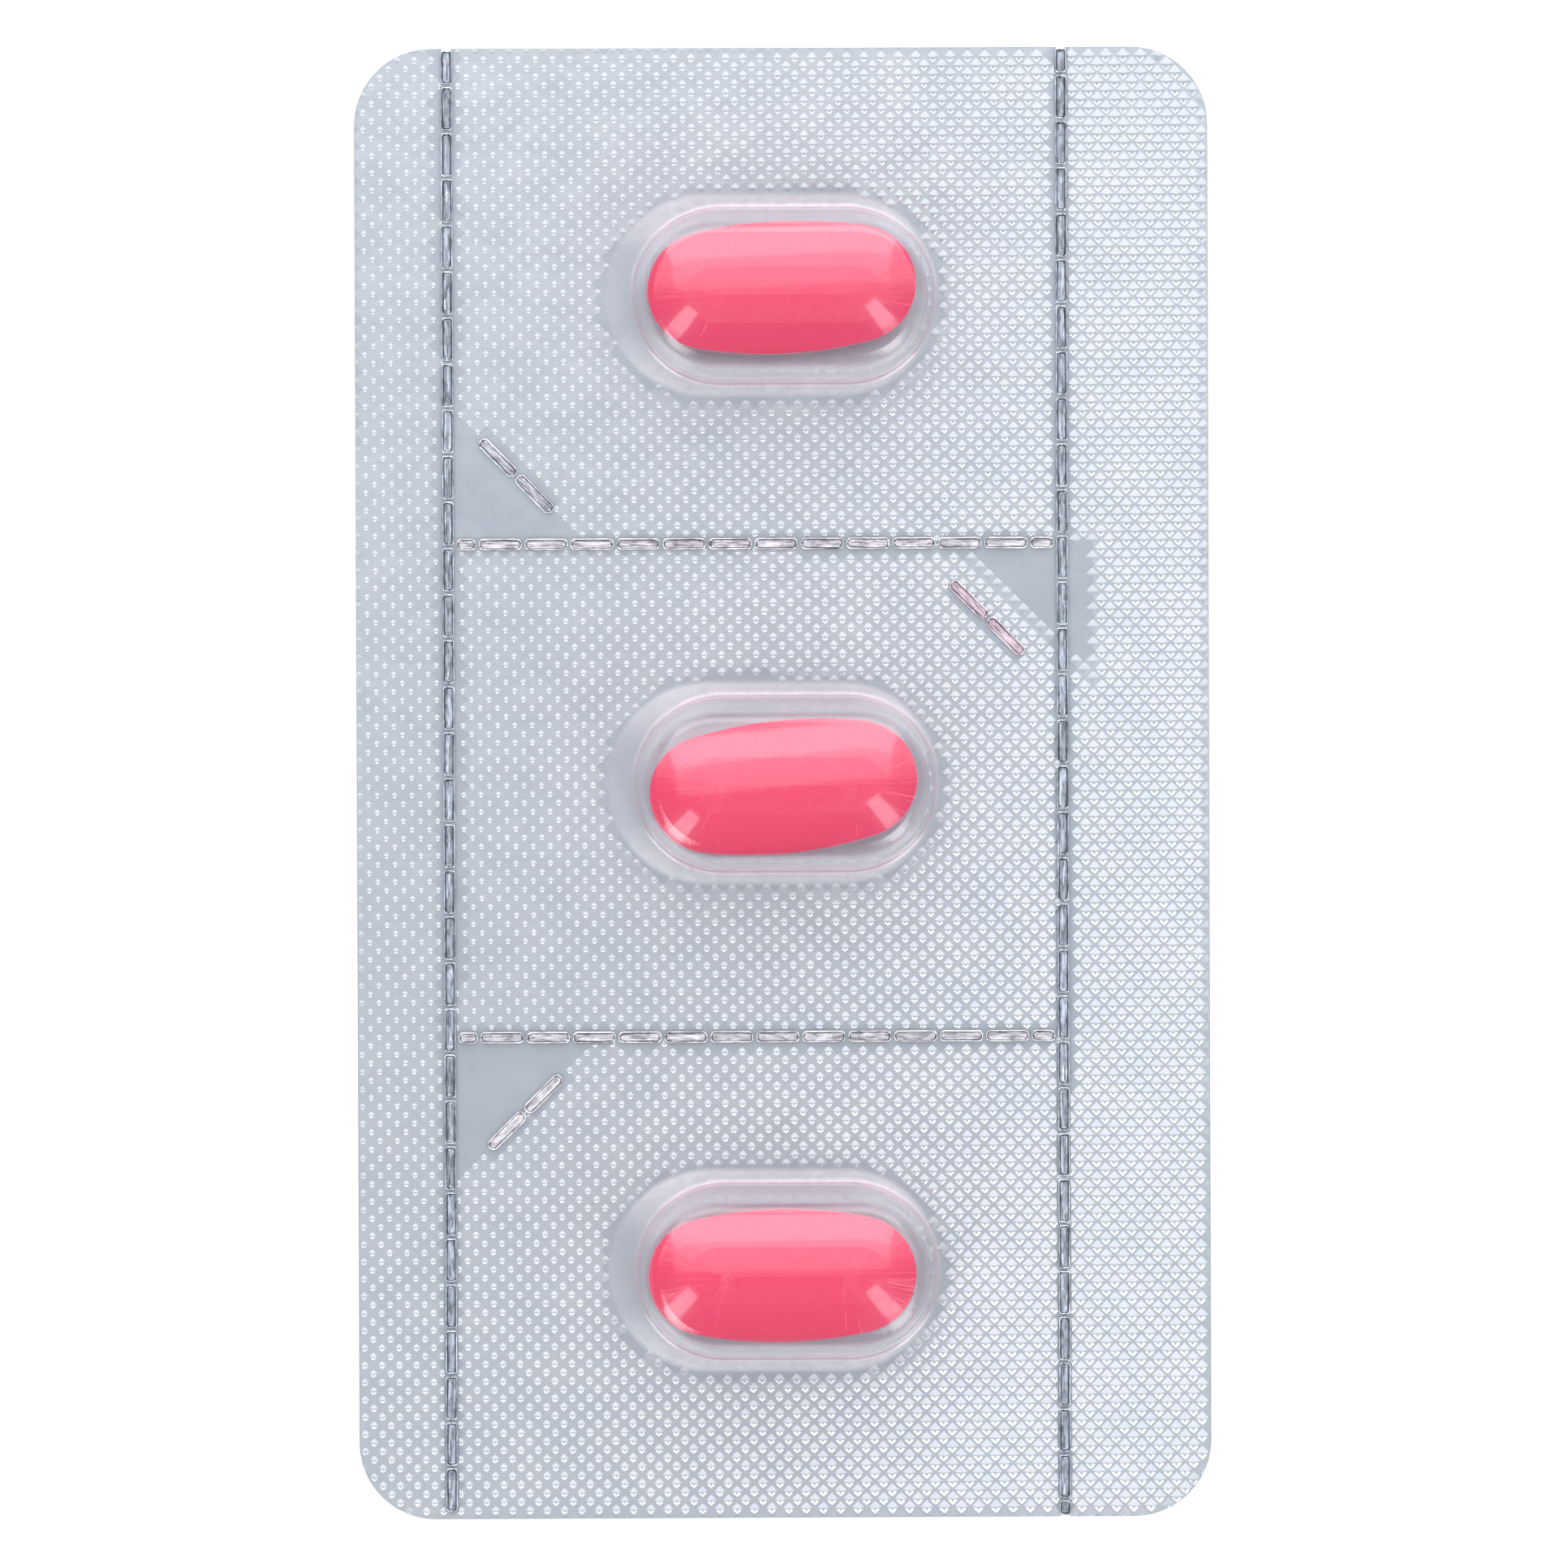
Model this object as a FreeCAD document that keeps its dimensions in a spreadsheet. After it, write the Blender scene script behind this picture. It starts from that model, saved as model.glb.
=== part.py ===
import FreeCAD, Part
import math
import os

import Sketcher
from FreeCAD import Placement, Rotation, Vector

# Unit-dose blister card with three film-coated caplets in one column.
#
# The card lies on its back: x runs across it, y along it and z up through the pockets. The
# origin is the middle of the card's back face. Five separate pieces make it up: the flat
# lidding, the thermoformed film sealed on top of it, and one caplet loose in each pocket.
# Lengths are in millimetres and angles in degrees.

DRIVING_SIZES = [
    # the card and its two sheets
    ("card_width", 54.3, "card, side to side"),
    ("end_margin", 15.75, "from the centre of an end pocket to the card's end"),
    ("card_corner", 4.9, "radius of the card's four corners"),
    ("lidding_thickness", 0.1, "peelable lidding, foil face up"),
    ("film_thickness", 0.25, "clear film where it is flat and sealed"),
    # the caplets
    ("tablet_length", 17.0, "caplet, end to end"),
    ("tablet_width", 8.42, "caplet, side to side"),
    ("tablet_thickness", 6.2, "caplet, crown to crown"),
    ("tablet_side_bow", 0.51, "how far the long sides bow out past the round ends"),
    ("cup_depth", 1.9, "height of each domed face above the belly band"),
    ("rest_gap", 0.03, "air between a resting caplet and the lidding"),
    # the pockets
    ("pocket_pitch", 31.06, "from one pocket to the next"),
    ("pocket_shift", 0.15, "pocket column, to the right of the card's middle"),
    ("side_clearance", 0.74, "caplet's side to the pocket wall, at the belly"),
    ("end_clearance", 0.72, "caplet's end to the pocket wall, at the belly"),
    ("head_clearance", 0.42, "caplet's crown to the underside of the roof"),
    ("wall_draft", 7.5, "lean of the pocket wall"),
    ("wall_thickness", 0.18, "film drawn thin in the pocket wall"),
    ("roof_thickness", 0.15, "film in the pocket roof"),
    ("roof_flat", 1.85, "half width of the flat along the roof's middle"),
    ("roof_slope", 11.0, "fall of the roof from that flat to the shoulder"),
    ("shoulder_radius", 1.2, "outside radius where roof and wall meet"),
    # the tear lines
    ("slot_width", 0.6, "cut slot, across the line"),
    ("slot_pitch", 2.92, "from one tie of a tear line to the next"),
    ("slot_tie", 0.3, "tie left between two slots"),
    ("left_inset", 5.88, "left tear line, from the card's left edge"),
    ("right_inset", 9.33, "right tear line, from the card's right edge"),
    ("left_first_tie", 2.33, "left line's first tie, from the top edge"),
    ("left_last_tie", 0.4, "left line's last tie, from the bottom edge"),
    ("right_first_tie", 1.7, "right line's first tie, from the top edge"),
    ("right_last_tie", 1.09, "right line's last tie, from the bottom edge"),
    ("cross_first_tie", 1.85, "cross lines' first tie, from the left line"),
    ("cross_last_tie", 2.12, "cross lines' last tie, from the right line"),
    ("upper_line_drop", 0.25, "upper cross line, below halfway between pockets"),
    ("lower_line_drop", 0.6, "lower cross line, below halfway between pockets"),
    # the slanted slots that free a peel corner of each unit
    ("peel_slot_length", 3.0, "slanted slot, end to end"),
    ("top_peel_leg", 8.72, "top unit's slanted line, leg from its corner"),
    ("middle_peel_leg", 9.55, "middle unit's slanted line, leg from its corner"),
    ("bottom_peel_leg", 9.52, "bottom unit's slanted line, leg from its corner"),
    # how each caplet happens to lie in its pocket
    ("top_tablet_across", -0.05, "top caplet, right of the card's middle"),
    ("top_tablet_along", 0.46, "top caplet, above its pocket's centre"),
    ("top_tablet_yaw", 2.6, "top caplet, turned to the left seen from above"),
    ("top_tablet_roll", 1.5, "top caplet, crown leaning to the card's top"),
    ("middle_tablet_across", -0.05, "middle caplet, right of the card's middle"),
    ("middle_tablet_along", -0.2, "middle caplet, above its pocket's centre"),
    ("middle_tablet_yaw", 5.7, "middle caplet, turned to the left"),
    ("middle_tablet_roll", 4.0, "middle caplet, crown leaning to the card's top"),
    ("bottom_tablet_across", -0.24, "bottom caplet, right of the card's middle"),
    ("bottom_tablet_along", -0.1, "bottom caplet, above its pocket's centre"),
    ("bottom_tablet_yaw", 0.85, "bottom caplet, turned to the left"),
    ("bottom_tablet_roll", 1.0, "bottom caplet, crown leaning to the card's top"),
]

POCKET_COUNT = 3
OUTER_FLATS, INNER_FLATS = 3, 2  # facets that draw the round at a pocket's shoulder
MARGIN = 1.0  # how far a cutter reaches past what it cuts

doc = FreeCAD.newDocument("pill_blister_pack")
sheet = doc.addObject("Spreadsheet::Sheet", "sizes")
for row, (alias, size, meaning) in enumerate(DRIVING_SIZES, start=1):
    sheet.set(f"A{row}", meaning)
    sheet.set(f"B{row}", str(size))
    sheet.setAlias(f"B{row}", alias)
doc.recompute()

# Sizes worked out from the driving ones, as expressions that the features are bound to
CARD_LENGTH = f"({POCKET_COUNT - 1} * sizes.pocket_pitch + 2 * sizes.end_margin)"
LEFT_LINE = "(sizes.left_inset - sizes.card_width / 2)"
RIGHT_LINE = "(sizes.card_width / 2 - sizes.right_inset)"
UPPER_LINE = "(sizes.pocket_pitch / 2 - sizes.upper_line_drop)"
LOWER_LINE = "(-sizes.pocket_pitch / 2 - sizes.lower_line_drop)"
HALF_TIE = "(sizes.slot_tie / 2)"
FLANGE_TOP = "(sizes.lidding_thickness + sizes.film_thickness)"
TABLET_BOTTOM = "(sizes.lidding_thickness + sizes.rest_gap)"
BELLY_HEIGHT = f"({TABLET_BOTTOM} + sizes.tablet_thickness / 2)"
CAVITY_TOP = f"({TABLET_BOTTOM} + sizes.tablet_thickness + sizes.head_clearance)"
CAVITY_HALF_WIDTH = "(sizes.tablet_width / 2 + sizes.side_clearance)"
POCKET_STRAIGHT = f"(sizes.tablet_length + 2 * sizes.end_clearance - 2 * {CAVITY_HALF_WIDTH})"
END_RADIUS = "(sizes.tablet_width / 2 - sizes.tablet_side_bow)"
CAP_CENTRE = f"(sizes.tablet_length / 2 - {END_RADIUS})"
CUP_RADIUS = "((sizes.tablet_width^2 / 4 + sizes.cup_depth^2) / (2 * sizes.cup_depth))"


def number(expression):
    """The value that an expression has now."""
    result = sheet.evalExpression(expression)
    return float(getattr(result, "Value", result))


def new_body(label):
    body = doc.addObject("PartDesign::Body", label)
    body.Label = label
    return body


def new_sketch(body, name, plane, turn=Rotation(), **shift):
    """A sketch on one of the body's own origin planes, turned and shifted in that plane."""
    sketch = body.newObject("Sketcher::SketchObject", name)
    support = next(item for item in body.Origin.OriginFeatures if item.Role == plane)
    sketch.AttachmentSupport = [(support, "")]
    sketch.MapMode = "FlatFace"
    sketch.AttachmentOffset = Placement(Vector(), turn)
    for axis, expression in shift.items():
        sketch.setExpression(f"AttachmentOffset.Base.{axis}", expression)
    return sketch


def bind(sketch, name, expression, kind, *where):
    """A named dimension of a sketch, driven by an expression."""
    index = sketch.addConstraint(Sketcher.Constraint(kind, *where, number(expression)))
    sketch.renameConstraint(index, name)
    sketch.setExpression(f"Constraints.{name}", expression)


def rounded_corner(before, corner, after, radius):
    """Where a round of this radius touches both sides of a corner, and its centre."""
    back = (before - corner).normalize()
    forth = (after - corner).normalize()
    half_angle = back.getAngle(forth) / 2
    reach = radius / math.tan(half_angle)
    middle = (back + forth).normalize() * (radius / math.sin(half_angle))
    return corner + back * reach, corner + forth * reach, corner + middle


def add_arc(sketch, centre, radius, start, end):
    """An arc that runs anticlockwise from one point to another."""
    first = math.atan2(start.y - centre.y, start.x - centre.x)
    last = math.atan2(end.y - centre.y, end.x - centre.x)
    if last < first:
        last += 2 * math.pi
    circle = Part.Circle(centre, Vector(0, 0, 1), radius)
    return sketch.addGeometry(Part.ArcOfCircle(circle, first, last))


def closed_profile(sketch, corners):
    """A closed outline, from corners given as (across, up, radius) expressions.

    A corner with no radius is sharp. A rounded one keeps a point at its sharp place, which
    carries its two dimensions, and an arc that is tangent to both sides.
    """
    places = [Vector(number(across), number(up), 0) for across, up, radius in corners]
    count = len(corners)
    starts, ends, rounds = list(places), list(places), {}
    for index, (across, up, radius) in enumerate(corners):
        if radius is not None:
            rounds[index] = rounded_corner(places[index - 1], places[index],
                                           places[(index + 1) % count], number(radius))
            ends[index], starts[index] = rounds[index][:2]
    lines = [sketch.addGeometry(Part.LineSegment(starts[index], ends[(index + 1) % count]))
             for index in range(count)]
    for index, (across, up, radius) in enumerate(corners):
        before, after = lines[index - 1], lines[index]
        if radius is None:
            sketch.addConstraint(Sketcher.Constraint("Coincident", before, 2, after, 1))
            holder = after
        else:
            first, second, centre = rounds[index]
            side = (places[index] - places[index - 1]).cross(second - first).z
            start, end = (first, second) if side > 0 else (second, first)
            near, far = (1, 2) if side > 0 else (2, 1)
            arc = add_arc(sketch, centre, number(radius), start, end)
            sketch.addConstraint(Sketcher.Constraint("Tangent", before, 2, arc, near))
            sketch.addConstraint(Sketcher.Constraint("Tangent", arc, far, after, 1))
            bind(sketch, f"radius_{index}", radius, "Radius", arc)
            holder = sketch.addGeometry(Part.Point(places[index]), True)
            sketch.addConstraint(Sketcher.Constraint("PointOnObject", holder, 1, before))
            sketch.addConstraint(Sketcher.Constraint("PointOnObject", holder, 1, after))
        bind(sketch, f"across_{index}", across, "DistanceX", -1, 1, holder, 1)
        bind(sketch, f"up_{index}", up, "DistanceY", -1, 1, holder, 1)


def slot_cutter(name, across, along, turn, start, end):
    """A box that cuts one slot, from start to end along a line turned from the x direction."""
    box = doc.addObject("Part::Box", name)
    box.setExpression("Length", f"{end} - {start}")
    box.setExpression("Width", "sizes.slot_width")
    box.setExpression("Height", f"{FLANGE_TOP} + 2 * {MARGIN}")
    box.Placement = Placement(Vector(), Rotation(Vector(0, 0, 1), turn))
    half_slot = "sizes.slot_width / 2"
    box.setExpression("Placement.Base.x",
                      f"{across} + cos({turn}) * {start} + sin({turn}) * {half_slot}")
    box.setExpression("Placement.Base.y",
                      f"{along} + sin({turn}) * {start} - cos({turn}) * {half_slot}")
    box.setExpression("Placement.Base.z", f"-{MARGIN}")
    return box


def slot_spans(first_tie, run):
    """Start and end of each slot between a line's first tie and its last, along the line.

    There are as many slots as the nominal pitch gives, and they share the run evenly.
    """
    count = round(number(run) / number("sizes.slot_pitch"))
    return [(f"({first_tie} + {index} * {run} / {count} + {HALF_TIE})",
             f"({first_tie} + {index + 1} * {run} / {count} - {HALF_TIE})")
            for index in range(count)]


def vertical_line_cutters(side, across, open_foot):
    """A line down the whole card, open at the top edge and perhaps at the bottom one."""
    first, last = f"sizes.{side}_first_tie", f"sizes.{side}_last_tie"
    spans = [(f"(-{MARGIN})", f"({first} - {HALF_TIE})")]
    spans += slot_spans(first, f"({CARD_LENGTH} - {first} - {last})")
    if open_foot:
        spans.append((f"({CARD_LENGTH} - {last} + {HALF_TIE})", f"({CARD_LENGTH} + {MARGIN})"))
    return [slot_cutter(f"{side}_line_{index}", across, f"{CARD_LENGTH} / 2", -90, start, end)
            for index, (start, end) in enumerate(spans)]


def cross_line_cutters(name, along):
    """A line from one vertical line to the other, with a short slot at either end."""
    clear = "(sizes.slot_width / 2 + sizes.slot_tie)"
    width = f"({RIGHT_LINE} - {LEFT_LINE})"
    first, last = "sizes.cross_first_tie", "sizes.cross_last_tie"
    spans = [(clear, f"({first} - {HALF_TIE})")]
    spans += slot_spans(first, f"({width} - {first} - {last})")
    spans.append((f"({width} - {last} + {HALF_TIE})", f"({width} - {clear})"))
    return [slot_cutter(f"{name}_line_{index}", LEFT_LINE, along, 0, start, end)
            for index, (start, end) in enumerate(spans)]


def peel_corner_cutters(unit, line_across, side, line_along, rise):
    """Two slanted slots across one corner of a unit, where its lidding is gripped."""
    half_leg = f"sizes.{unit}_peel_leg / 2"
    across = f"({line_across} + ({side}) * {half_leg})"
    along = f"({line_along} + ({rise}) * {half_leg})"
    far = f"({HALF_TIE} + sizes.peel_slot_length)"
    spans = [(f"(-{far})", f"(-{HALF_TIE})"), (HALF_TIE, far)]
    return [slot_cutter(f"{unit}_peel_{index}", across, along, -45 * side * rise, start, end)
            for index, (start, end) in enumerate(spans)]


def all_slot_cutters():
    """Every slot of the card. Both sheets are cut by these at once, as the real die does."""
    boxes = vertical_line_cutters("left", LEFT_LINE, False)
    boxes += vertical_line_cutters("right", RIGHT_LINE, True)
    boxes += cross_line_cutters("upper", UPPER_LINE)
    boxes += cross_line_cutters("lower", LOWER_LINE)
    boxes += peel_corner_cutters("top", LEFT_LINE, 1, UPPER_LINE, 1)
    boxes += peel_corner_cutters("middle", RIGHT_LINE, -1, UPPER_LINE, -1)
    boxes += peel_corner_cutters("bottom", LEFT_LINE, 1, LOWER_LINE, -1)
    cutters = doc.addObject("Part::Compound", "slot_cutters")
    cutters.Links = boxes
    return cutters


def slotted(label, body, cutters):
    """The finished sheet: a body less every slot."""
    cut = doc.addObject("Part::Cut", label)
    cut.Label = label
    cut.Base = body
    cut.Tool = cutters
    return cut


def card_sheet(body, bottom, thickness):
    """The card's outline as a flat sheet with round corners."""
    sketch = new_sketch(body, f"{body.Label}_outline", "XY_Plane", z=bottom)
    half_width, half_length = "(sizes.card_width / 2)", f"({CARD_LENGTH} / 2)"
    closed_profile(sketch, [(f"-{half_width}", f"-{half_length}", "sizes.card_corner"),
                            (half_width, f"-{half_length}", "sizes.card_corner"),
                            (half_width, half_length, "sizes.card_corner"),
                            (f"-{half_width}", half_length, "sizes.card_corner")])
    pad = body.newObject("PartDesign::Pad", f"{body.Label}_sheet")
    pad.Profile = sketch
    pad.setExpression("Length", thickness)
    return pad


def shoulder_corner(half_width, roof, flat):
    """Where the sloping roof would meet the leaning wall, without the round between them."""
    slope, lean = "tan(sizes.roof_slope)", "tan(sizes.wall_draft)"
    across = (f"(({half_width} - ({roof} + {flat} * {slope} - {BELLY_HEIGHT}) * {lean})"
              f" / (1 - {slope} * {lean}))")
    return across, f"({roof} - ({across} - {flat}) * {slope})"


def wall_at(half_width, height):
    """How far out the leaning wall is at a height."""
    return f"({half_width} + ({BELLY_HEIGHT} - {height}) * tan(sizes.wall_draft))"


def eased_shoulder(across, up, radius, flats):
    """The round between roof and wall, drawn as flats whose corners lie on it.

    Each flat turns into a cone at the pocket's ends, which keeps the film light to mesh.
    """
    turn = "(90 - sizes.wall_draft - sizes.roof_slope)"
    reach = f"({radius} * tan({turn} / 2))"
    middle_across = (f"({across} - {reach} * cos(sizes.roof_slope)"
                     f" - {radius} * sin(sizes.roof_slope))")
    middle_up = (f"({up} + {reach} * sin(sizes.roof_slope)"
                 f" - {radius} * cos(sizes.roof_slope))")
    angles = [f"(sizes.roof_slope + {turn} * {step} / {flats})" for step in range(flats + 1)]
    return [(f"({middle_across} + {radius} * sin({angle}))",
             f"({middle_up} + {radius} * cos({angle}))", None) for angle in angles]


def pocket_outside():
    """Half of the pocket's outer section, from the roof's middle round to its base."""
    wall = "(sizes.wall_thickness / cos(sizes.wall_draft))"
    half_width = f"({CAVITY_HALF_WIDTH} + {wall})"
    roof = f"({CAVITY_TOP} + sizes.roof_thickness)"
    across, up = shoulder_corner(half_width, roof, "sizes.roof_flat")
    base = "(sizes.lidding_thickness + sizes.film_thickness / 2)"
    return [("0", roof, None), ("sizes.roof_flat", roof, None),
            *eased_shoulder(across, up, "sizes.shoulder_radius", OUTER_FLATS),
            (wall_at(half_width, base), base, None), ("0", base, None)]


def pocket_inside():
    """Half of the cavity's section, down past the underside of the film."""
    across, up = shoulder_corner(CAVITY_HALF_WIDTH, CAVITY_TOP, "sizes.roof_flat")
    under = f"(sizes.lidding_thickness - {MARGIN})"
    radius = "(sizes.shoulder_radius - sizes.wall_thickness)"
    return [("0", CAVITY_TOP, None), ("sizes.roof_flat", CAVITY_TOP, None),
            *eased_shoulder(across, up, radius, INNER_FLATS),
            (wall_at(CAVITY_HALF_WIDTH, under), under, None), ("0", under, None)]


def mirrored_section(half):
    """A whole section from the half on the positive side, whose ends lie on the axis."""
    return half[1:-1] + [(f"-{across}", up, radius)
                         for across, up, radius in reversed(half[1:-1])]


def pocket_form(body, name, half, straight_kind, end_kind):
    """One stadium-shaped pocket form: a straight vault and a half turn at each end."""
    along = "sizes.pocket_pitch"
    section = new_sketch(body, f"{name}_section", "YZ_Plane", x=along, z="sizes.pocket_shift")
    closed_profile(section, mirrored_section(half))
    vault = body.newObject(straight_kind, f"{name}_vault")
    vault.Profile = section
    vault.Midplane = True
    vault.setExpression("Length", POCKET_STRAIGHT)
    made = [vault]
    for side, sign, turn in (("right", 1, 0), ("left", -1, 180)):
        profile = new_sketch(body, f"{name}_{side}_profile", "XZ_Plane",
                             Rotation(Vector(0, 1, 0), turn), z=f"-{along}",
                             x=f"sizes.pocket_shift + ({sign}) * {POCKET_STRAIGHT} / 2")
        closed_profile(profile, half)
        end = body.newObject(end_kind, f"{name}_{side}_end")
        end.Profile = profile
        end.ReferenceAxis = (profile, ["V_Axis"])
        end.Angle = 180
        end.Midplane = True
        made.append(end)
    return made


def lidding_foil(cutters):
    """The flat peelable lidding."""
    body = new_body("lidding_sheet")
    card_sheet(body, "0", "sizes.lidding_thickness")
    return slotted("lidding_foil", body, cutters)


def blister_film(cutters):
    """The clear film: a flat flange with one drawn pocket for each caplet."""
    body = new_body("formed_film")
    card_sheet(body, "sizes.lidding_thickness", "sizes.film_thickness")
    features = pocket_form(body, "pocket", pocket_outside(), "PartDesign::Pad",
                           "PartDesign::Revolution")
    features += pocket_form(body, "cavity", pocket_inside(), "PartDesign::Pocket",
                            "PartDesign::Groove")
    column = body.newObject("PartDesign::LinearPattern", "pocket_column")
    column.Originals = features
    column.Direction = (features[0].Profile[0], ["H_Axis"])
    column.Reversed = True
    column.Occurrences = POCKET_COUNT
    column.setExpression("Length", f"{POCKET_COUNT - 1} * sizes.pocket_pitch")
    body.Tip = column
    return slotted("blister_film", body, cutters)


def tablet_outline(body):
    """The caplet seen from above: two round ends joined by long, slightly bowed sides."""
    end = number(END_RADIUS)
    centre = number(CAP_CENTRE)
    side_radius = (f"(({CAP_CENTRE}^2 + sizes.tablet_width^2 / 4 - {END_RADIUS}^2)"
                   f" / (sizes.tablet_width - 2 * {END_RADIUS}))")
    side = number(side_radius)
    drop = side - number("sizes.tablet_width") / 2
    angle = math.atan2(drop, centre)
    sketch = new_sketch(body, f"{body.Label}_outline", "XY_Plane")
    axis = Vector(0, 0, 1)
    right, top, left, bottom = [
        sketch.addGeometry(Part.ArcOfCircle(Part.Circle(middle, axis, radius), first, last))
        for middle, radius, first, last in (
            (Vector(centre, 0, 0), end, -angle, angle),
            (Vector(0, -drop, 0), side, angle, math.pi - angle),
            (Vector(-centre, 0, 0), end, math.pi - angle, math.pi + angle),
            (Vector(0, drop, 0), side, math.pi + angle, 2 * math.pi - angle))]
    for first, second in ((right, top), (top, left), (left, bottom), (bottom, right)):
        sketch.addConstraint(Sketcher.Constraint("Tangent", first, 2, second, 1))
    sketch.addConstraint(Sketcher.Constraint("Symmetric", left, 3, right, 3, -1, 1))
    sketch.addConstraint(Sketcher.Constraint("PointOnObject", right, 3, -1))
    sketch.addConstraint(Sketcher.Constraint("Equal", left, right))
    sketch.addConstraint(Sketcher.Constraint("Equal", top, bottom))
    bind(sketch, "centre", CAP_CENTRE, "DistanceX", -1, 1, right, 3)
    bind(sketch, "end_radius", END_RADIUS, "Radius", right)
    bind(sketch, "side_radius", side_radius, "Radius", top)
    return sketch


def cup_profile(body):
    """What the upper domed face removes, in the plane of the caplet's length and height.

    The face is a cylinder along the caplet with half a ball at each end, turned about one
    axis below the caplet's middle. The profile is drawn on the far side of that axis, so
    that the seam of the turned faces falls clear of the caplet.
    """
    half_thickness = "(sizes.tablet_thickness / 2)"
    axis_height = f"({half_thickness} - {CUP_RADIUS})"
    reach = f"(sizes.tablet_length / 2 + {MARGIN} / 4)"
    lid = f"({axis_height} - sqrt(sizes.tablet_width^2 / 4 + {CUP_RADIUS}^2) - {MARGIN})"
    centre, height, radius = number(CAP_CENTRE), number(axis_height), number(CUP_RADIUS)
    reach_now, lid_now = number(reach), number(lid)
    arc_end = Vector(reach_now, height - math.sqrt(radius**2 - (reach_now - centre)**2), 0)
    mirror = Vector(-arc_end.x, arc_end.y, 0)
    right_foot, left_foot = Vector(centre, height - radius, 0), Vector(-centre, height - radius, 0)
    right_low, left_low = Vector(reach_now, lid_now, 0), Vector(-reach_now, lid_now, 0)

    sketch = new_sketch(body, f"{body.Label}_cup_profile", "XZ_Plane")
    turning = sketch.addGeometry(Part.LineSegment(Vector(-reach_now, height, 0),
                                                  Vector(reach_now, height, 0)), True)
    left = add_arc(sketch, Vector(-centre, height, 0), radius, mirror, left_foot)
    crown = sketch.addGeometry(Part.LineSegment(left_foot, right_foot))
    right = add_arc(sketch, Vector(centre, height, 0), radius, right_foot, arc_end)
    right_side = sketch.addGeometry(Part.LineSegment(arc_end, right_low))
    under = sketch.addGeometry(Part.LineSegment(right_low, left_low))
    left_side = sketch.addGeometry(Part.LineSegment(left_low, mirror))
    for first, second in ((left, crown), (crown, right)):
        sketch.addConstraint(Sketcher.Constraint("Tangent", first, 2, second, 1))
    for first, second in ((right, right_side), (right_side, under), (under, left_side),
                          (left_side, left)):
        sketch.addConstraint(Sketcher.Constraint("Coincident", first, 2, second, 1))
    sketch.addConstraint(Sketcher.Constraint("Vertical", right_side))
    sketch.addConstraint(Sketcher.Constraint("Vertical", left_side))
    sketch.addConstraint(Sketcher.Constraint("Symmetric", turning, 1, turning, 2, -2))
    sketch.addConstraint(Sketcher.Constraint("Symmetric", under, 2, under, 1, -2))
    sketch.addConstraint(Sketcher.Constraint("Symmetric", left, 3, right, 3, -2))
    sketch.addConstraint(Sketcher.Constraint("PointOnObject", right, 3, turning))
    sketch.addConstraint(Sketcher.Constraint("Equal", left, right))
    bind(sketch, "axis_height", axis_height, "DistanceY", -1, 1, turning, 2)
    bind(sketch, "axis_reach", reach, "DistanceX", -1, 1, turning, 2)
    bind(sketch, "lid_height", lid, "DistanceY", -1, 1, under, 1)
    bind(sketch, "lid_reach", reach, "DistanceX", -1, 1, under, 1)
    bind(sketch, "cap_centre", CAP_CENTRE, "DistanceX", -1, 1, right, 3)
    bind(sketch, "cup_radius", CUP_RADIUS, "Radius", right)
    return sketch


def tablet(place, row):
    """One caplet: a belly band cut from the outline, and a domed face above and below it."""
    body = new_body(f"tablet_{place}")
    core = body.newObject("PartDesign::Pad", f"{body.Label}_core")
    core.Profile = tablet_outline(body)
    core.Midplane = True
    core.setExpression("Length", "sizes.tablet_thickness")
    face = body.newObject("PartDesign::Groove", f"{body.Label}_upper_face")
    face.Profile = cup_profile(body)
    face.ReferenceAxis = (face.Profile[0], ["Axis0"])
    face.Angle = 360
    other = body.newObject("PartDesign::Mirrored", f"{body.Label}_lower_face")
    other.Originals = [face]
    other.MirrorPlane = (next(item for item in body.Origin.OriginFeatures
                              if item.Role == "XY_Plane"), [""])
    body.Tip = other
    yaw = Rotation(Vector(0, 0, 1), number(f"sizes.{place}_tablet_yaw"))
    roll = Rotation(Vector(1, 0, 0), -number(f"sizes.{place}_tablet_roll"))
    body.Placement = Placement(Vector(), yaw * roll)
    body.setExpression("Placement.Base.x", f"sizes.{place}_tablet_across")
    body.setExpression("Placement.Base.y",
                       f"({row}) * sizes.pocket_pitch + sizes.{place}_tablet_along")
    body.setExpression("Placement.Base.z", BELLY_HEIGHT)
    return body


def check(pieces):
    """Stop before anything is written if a feature failed or a piece isn't a sound solid."""
    for item in doc.Objects:
        if {"Invalid", "Error"} & set(item.State):
            raise RuntimeError(f"{item.Label} failed: {item.State}")
    for piece in pieces:
        shape = piece.Shape
        if shape.isNull() or not shape.isValid() or len(shape.Solids) != 1:
            raise RuntimeError(f"{piece.Label} isn't one valid solid")


slot_cutters = all_slot_cutters()
pieces = [lidding_foil(slot_cutters), blister_film(slot_cutters)]
pieces += [tablet(place, row) for place, row in (("top", 1), ("middle", 0), ("bottom", -1))]
doc.recompute()
check(pieces)

os.makedirs("parts", exist_ok=True)
for piece in pieces:
    piece.Shape.exportStep(f"parts/{piece.Label}.step")
    box = piece.Shape.BoundBox
    print(f"{piece.Label}: {piece.Shape.Volume:.1f} mm3, {box.XLength:.2f} x {box.YLength:.2f}"
          f" x {box.ZLength:.2f} mm, z from {box.ZMin:.3f}")
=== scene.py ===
# %% [markdown]
# # A unit-dose blister card with three caplets
#
# The card lies on its back and the camera looks straight down on it. Its five solids are already
# there: lidding, film and three caplets. This script dresses them. It gives the clear film its
# soft corners, presses the seal's diamond pattern into the foil, draws the cut edges of the tear
# lines, and finds a finish for each surface.

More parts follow.
